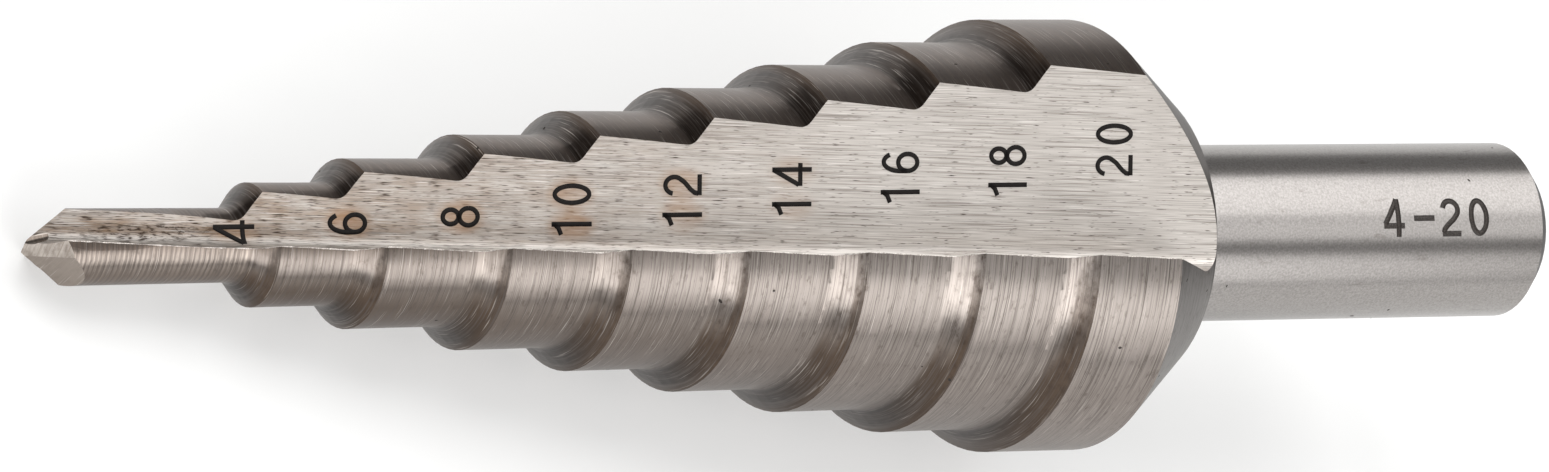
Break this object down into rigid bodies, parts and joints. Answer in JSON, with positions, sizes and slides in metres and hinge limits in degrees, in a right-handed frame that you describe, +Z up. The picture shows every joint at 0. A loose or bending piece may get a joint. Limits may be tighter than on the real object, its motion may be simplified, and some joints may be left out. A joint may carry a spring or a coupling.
{
  "type": "step drill",
  "caption": "Straight-fluted step drill for sheet metal, with a faceted point, stepped cutting lands and a plain round shank.",
  "frame": {"origin": "middle of the underside of the bounding box, at the level of the surface that the drill lies on", "axes": "+X from the point towards the shank end, +Y across the drill, +Z up; the drill's axis lies over the X axis and rises to the shank end"},
  "size_m": [0.0772, 0.0196, 0.0181],
  "materials": {
    "ground_steel": "ground and turned, uncoated, with fine tool marks"
  },
  "bodies": {
    "root": {"step_drill": "ground_steel"}
  },
  "joints": []
}
